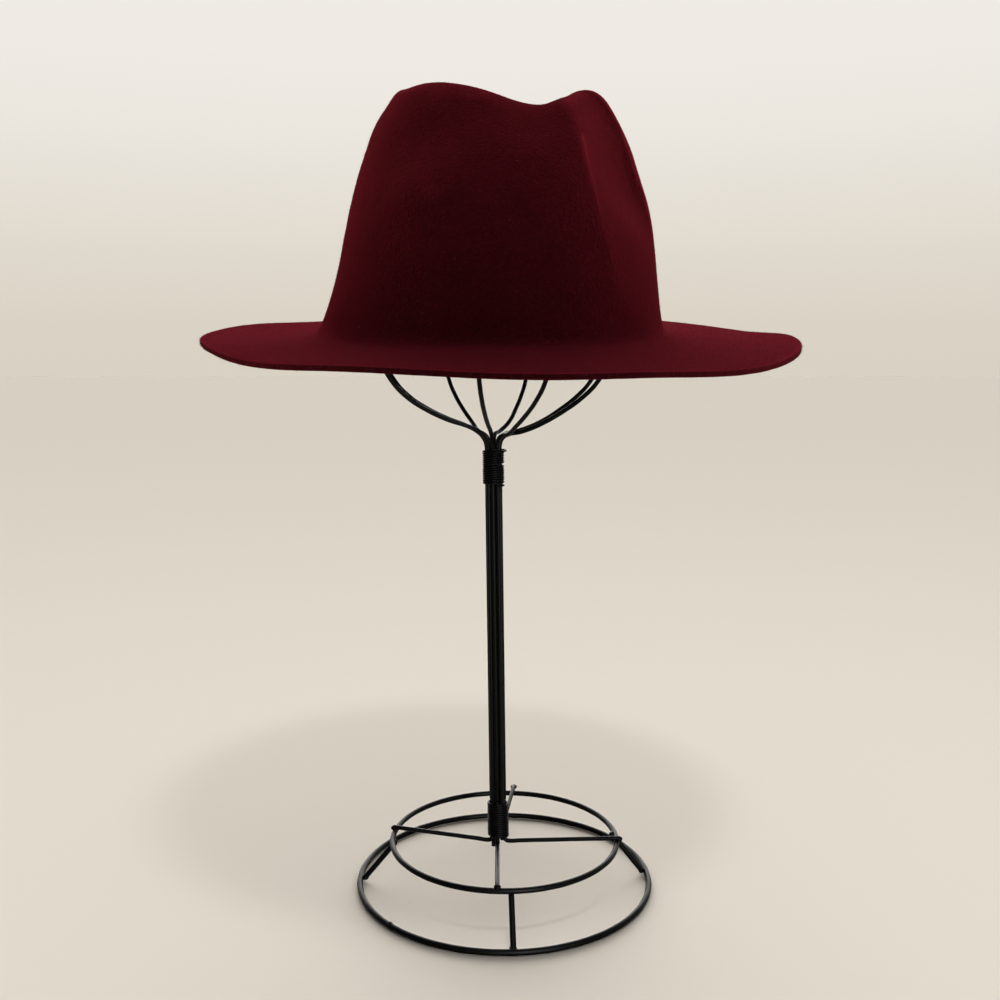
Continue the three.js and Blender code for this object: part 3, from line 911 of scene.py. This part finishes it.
class WireSettings(bpy.types.PropertyGroup):
    """Colours and sizes of the wires."""

    paint_colour: FloatVectorProperty(
        name="Paint", description="Colour of the enamel",
        subtype="COLOR", default=linear("#060607"), min=0, max=1,
    )
    dust_colour: FloatVectorProperty(
        name="Dust", description="Colour of the enamel where it is dusty",
        subtype="COLOR", default=linear("#0f0e0e"), min=0, max=1,
    )
    wrap_wire: FloatProperty(
        name="Wrap wire", description="Thickness of the wraps' wire, in mm", default=1.3, min=0.5
    )
    wrap_turns: IntProperty(name="Turns", description="Turns of each wrap", default=15, min=3)


class StageSettings(bpy.types.PropertyGroup):
    """Colours and lights of the stage."""

    floor_colour: FloatVectorProperty(
        name="Floor", description="Colour of the floor",
        subtype="COLOR", default=linear("#ece5d9"), min=0, max=1,
    )
    horizon_colour: FloatVectorProperty(
        name="Horizon", description="Colour of the backdrop at its foot",
        subtype="COLOR", default=linear("#d9d1c3"), min=0, max=1,
    )
    backdrop_colour: FloatVectorProperty(
        name="Backdrop", description="Colour of the backdrop",
        subtype="COLOR", default=linear("#efebe4"), min=0, max=1,
    )
    light_strength: FloatProperty(
        name="Light strength", description="Strength of the soft light all round",
        default=1.0, min=0,
    )
    key_power: FloatProperty(
        name="Key power", description="Power of the lamp overhead", unit="POWER", default=6, min=0
    )
    window_power: FloatProperty(
        name="Window power", description="Power of the window ahead",
        unit="POWER", default=70, min=0,
    )
    key_size: FloatProperty(
        name="Key size", description="Width of the lamp overhead",
        unit="LENGTH", default=0.25, min=0.01,
    )


# Operators


class HAT_OT_felt_body(bpy.types.Operator):
    """Make the hat's felt"""

    bl_idname = "hat.felt_body"
    bl_label = "Felt Body"

    def execute(self, context):
        settings = context.scene.hat_felt
        body = felt_body(settings)
        dress(body, "felt_body", wool_felt(settings), "wool_felt", "felt_hat")
        return {"FINISHED"}


class HAT_OT_nap(bpy.types.Operator):
    """Raise the nap, the stray fibres and the lint on the felt"""

    bl_idname = "hat.nap"
    bl_label = "Nap and Lint"

    def execute(self, context):
        settings = context.scene.hat_felt
        body = bpy.data.objects["felt_body"]
        draw = np.random.RandomState(FIBRE_SEED)
        colours = (
            ("loose wool", settings.felt_colour, settings.sheen_colour),
            # The pale nap borrows the colour of the wear and painted highlight, but its fibres lie
            # at random over the felt.
            ("pale wool", settings.wear_and_highlight_colour, settings.wear_and_highlight_colour),
            ("caught lint", settings.lint_colour, settings.lint_colour),
        )
        wools = {name: loose_wool(name, colour, sheen) for name, colour, sheen in colours}
        for name, number, sections, lift, length, width, curl, weigh, wool in FIBRES:
            count = getattr(settings, number)
            pattern = fibre_pattern(sections)
            places, normals = surface_samples(body, count, draw, weigh)
            ups, leans = fibre_stand(draw, normals, *lift)
            lengths = draw.uniform(*length, size=count) * MM
            widths = draw.uniform(*FIBRE_WIDTHS, size=count) * width * MM
            curls = draw.uniform(LEAST_CURL, curl, size=count)
            fibres = sow_fibres(name, pattern, places, ups, leans, lengths, widths, curls)
            dress(fibres, name, wools[wool], "wool_felt")
        return {"FINISHED"}


class HAT_OT_foot(bpy.types.Operator):
    """Make the welded foot of the stand"""

    bl_idname = "hat.foot"
    bl_label = "Foot"

    def execute(self, context):
        rings = (LOWER_RING, UPPER_RING)
        parts = [bent_wire(ring_points(ring), ring["wire"], closed=True) for ring in rings]
        welds = [("ring", weld_place("ring", LOWER_RING, RING_JOINT_AZIMUTH))]
        for top in LEG_TOPS:
            foot = on_stand(LEG_FOOT["radius"], top["azimuth"], LEG_FOOT["z"])
            head = on_stand(top["radius"], top["azimuth"], top["z"])
            parts.append(bent_wire([head, head.lerp(foot, 0.5), foot], LEG_WIRE))
            welds.append(("leg_foot", foot.lerp(head, WELDS["leg_foot"]["along"])))
            welds.append(("leg_top", weld_place("leg_top", UPPER_RING, top["azimuth"])))
        for quarter, end in enumerate(SPOKE_ENDS):
            parts.append(bent_wire(spoke_points(quarter), THIN_WIRE))
            welds.append(("spoke", weld_place("spoke", end, end["azimuth"])))
        for seed, (kind, place) in enumerate(welds):
            parts.append(weld_bead(kind, place, seed))
        welded = join(parts, "welded_foot")
        dress(welded, "welded_foot", wire_material(context), "black_wire", "base_frame")
        return {"FINISHED"}


class HAT_OT_dome(bpy.types.Operator):
    """Make the four loops that form the stem and the dome"""

    bl_idname = "hat.dome"
    bl_label = "Stem and Dome"

    def execute(self, context):
        for layer, loop in enumerate(LOOPS):
            wire = bent_wire(loop_points(loop, layer), THIN_WIRE)
            name = "dome_" + loop["name"]
            dress(wire, name, wire_material(context), "black_wire", loop["name"])
        return {"FINISHED"}


class HAT_OT_wraps(bpy.types.Operator):
    """Make the two coils that bind the stem"""

    bl_idname = "hat.wraps"
    bl_label = "Wraps"

    def execute(self, context):
        settings = context.scene.hat_wire
        coils = (("lower_coil", "lower_wrap", LOWER_WRAP), ("upper_coil", "upper_wrap", UPPER_WRAP))
        for name, replaced, wrap in coils:
            points = wrap_points(wrap, settings.wrap_wire, settings.wrap_turns)
            coil = bent_wire(points, settings.wrap_wire, smoothness=2, sides=8)
            dress(coil, name, wire_material(context), "black_wire", replaced)
        return {"FINISHED"}


class HAT_OT_stage(bpy.types.Operator):
    """Make the floor, the backdrop, the lights and the camera"""

    bl_idname = "hat.stage"
    bl_label = "Stage"

    def execute(self, context):
        settings = context.scene.hat_stage
        add_floor(settings)
        add_backdrop(settings)
        context.scene.world = soft_light(settings)

        add_lamp("key", KEY_PLACE, settings.key_power, settings.key_size)
        window = add_lamp("window", WINDOW_PLACE, settings.window_power, WINDOW_WIDTH)
        window.data.shape = "RECTANGLE"
        window.data.size_y = WINDOW_HEIGHT
        # It adds only gloss, which shows in the enamel.
        window.visible_diffuse = False

        bpy.ops.object.camera_add(location=CAMERA["place"])
        camera = bpy.context.active_object
        camera.rotation_euler = (math.radians(90 - CAMERA["pitch"]), 0, 0)
        camera.data.sensor_width = CAMERA["sensor"]
        camera.data.lens = CAMERA["lens"]
        camera.data.clip_start = 0.01
        camera.data.clip_end = 500
        context.scene.camera = camera
        context.scene.view_settings.view_transform = "Standard"
        return {"FINISHED"}


def add_lamp(name, place, power, width):
    """A lamp with a square face, turned to the middle of the part."""
    bpy.ops.object.light_add(type="AREA", location=place)
    lamp = bpy.context.active_object
    lamp.name = name
    lamp.data.energy = power
    lamp.data.size = width
    lamp.rotation_mode = "QUATERNION"
    lamp.rotation_quaternion = (lamp.location - LAMPS_FACE).to_track_quat("Z", "Y")
    return lamp


def add_floor(settings):
    """A wide, plain, matt floor."""
    deselect_all()
    bpy.ops.mesh.primitive_circle_add(
        vertices=96, radius=STAGE_RADIUS, fill_type="NGON", location=(0, 0, -FLOOR_DROP)
    )
    floor = bpy.context.active_object
    floor.name = "floor"
    place_in_mesh(floor)
    material, tree = new_material("pale floor")
    shader = add_node(
        tree,
        "ShaderNodeBsdfPrincipled",
        inputs={
            "Base Color": (*settings.floor_colour, 1),
            "Roughness": 1.0,
            "Specular IOR Level": 0.0,
        },
    )
    add_node(tree, "ShaderNodeOutputMaterial", inputs={"Surface": shader.outputs["BSDF"]})
    floor.data.materials.append(material)


def add_backdrop(settings):
    """A pale dome all round, which is seen but neither lights nor shades the hat."""
    deselect_all()
    bpy.ops.mesh.primitive_uv_sphere_add(
        segments=64, ring_count=32, radius=STAGE_RADIUS, location=(0, 0, 0)
    )
    dome = bpy.context.active_object
    dome.name = "backdrop"
    material, tree = new_material("pale backdrop")
    place = add_node(tree, "ShaderNodeTexCoord").outputs["Object"]
    height = add_node(tree, "ShaderNodeSeparateXYZ", inputs={"Vector": place}).outputs["Z"]
    share = add_node(
        tree,
        "ShaderNodeMapRange",
        {"interpolation_type": "SMOOTHSTEP"},
        {"Value": height, "From Min": 0.0, "From Max": BACKDROP_RISE * STAGE_RADIUS},
    )
    ramp = add_node(tree, "ShaderNodeValToRGB", inputs={"Fac": share.outputs["Result"]})
    ramp.color_ramp.elements[0].color = (*settings.horizon_colour, 1)
    ramp.color_ramp.elements[1].color = (*settings.backdrop_colour, 1)
    glow = add_node(tree, "ShaderNodeEmission", inputs={"Color": ramp.outputs["Color"]})
    add_node(tree, "ShaderNodeOutputMaterial", inputs={"Surface": glow.outputs["Emission"]})
    material.cycles.emission_sampling = "NONE"
    dome.data.materials.append(material)
    for ray in ("diffuse", "glossy", "transmission", "volume_scatter", "shadow"):
        setattr(dome, "visible_" + ray, False)


def soft_light(settings):
    """A world of soft lights, each brightest in its own direction and fading round it."""
    world = bpy.data.worlds.new("soft light")
    world.use_nodes = True
    tree = world.node_tree
    tree.nodes.clear()
    direction = add_node(tree, "ShaderNodeTexCoord").outputs["Generated"]
    total = (0.0, 0.0, 0.0)
    for towards, narrowness, colour in SOFT_LIGHTS:
        facing = add_node(
            tree,
            "ShaderNodeVectorMath",
            {"operation": "DOT_PRODUCT"},
            {0: direction, 1: Vector(towards).normalized()},
        )
        ahead = add_node(
            tree,
            "ShaderNodeMath",
            {"operation": "MAXIMUM"},
            {0: facing.outputs["Value"], 1: 0.0},
        )
        fading = add_node(
            tree,
            "ShaderNodeMath",
            {"operation": "POWER"},
            {0: ahead.outputs[0], 1: narrowness},
        )
        total = add_node(
            tree,
            "ShaderNodeVectorMath",
            {"operation": "MULTIPLY_ADD"},
            {0: fading.outputs[0], 1: colour, 2: total},
        ).outputs[0]
    light = add_node(
        tree,
        "ShaderNodeBackground",
        inputs={"Color": total, "Strength": settings.light_strength},
    )
    add_node(tree, "ShaderNodeOutputWorld", inputs={"Surface": light.outputs["Background"]})
    return world


class HAT_PT_panel(bpy.types.Panel):
    """Lists what the script can make"""

    bl_idname = "HAT_PT_panel"
    bl_label = "Felt Hat on Wire Stand"
    bl_space_type = "VIEW_3D"
    bl_region_type = "UI"
    bl_category = "Hat"

    def draw(self, context):
        layout = self.layout
        for operator in OPERATORS:
            layout.operator(operator.bl_idname)


OPERATORS = (HAT_OT_foot, HAT_OT_dome, HAT_OT_wraps, HAT_OT_felt_body, HAT_OT_nap, HAT_OT_stage)
SETTINGS = {"hat_felt": FeltSettings, "hat_wire": WireSettings, "hat_stage": StageSettings}


def register():
    """Registers the settings, the operators and the panel."""
    for name, group in SETTINGS.items():
        bpy.utils.register_class(group)
        setattr(bpy.types.Scene, name, PointerProperty(type=group))
    for operator in OPERATORS:
        bpy.utils.register_class(operator)
    bpy.utils.register_class(HAT_PT_panel)


def unregister():
    """Takes back what register did."""
    bpy.utils.unregister_class(HAT_PT_panel)
    for operator in reversed(OPERATORS):
        bpy.utils.unregister_class(operator)
    for name, group in SETTINGS.items():
        delattr(bpy.types.Scene, name)
        bpy.utils.unregister_class(group)


def main():
    """Makes every piece."""
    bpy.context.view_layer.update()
    register()
    for operator in OPERATORS:
        group, name = operator.bl_idname.split(".")
        getattr(getattr(bpy.ops, group), name)()


if __name__ == "__main__":
    main()
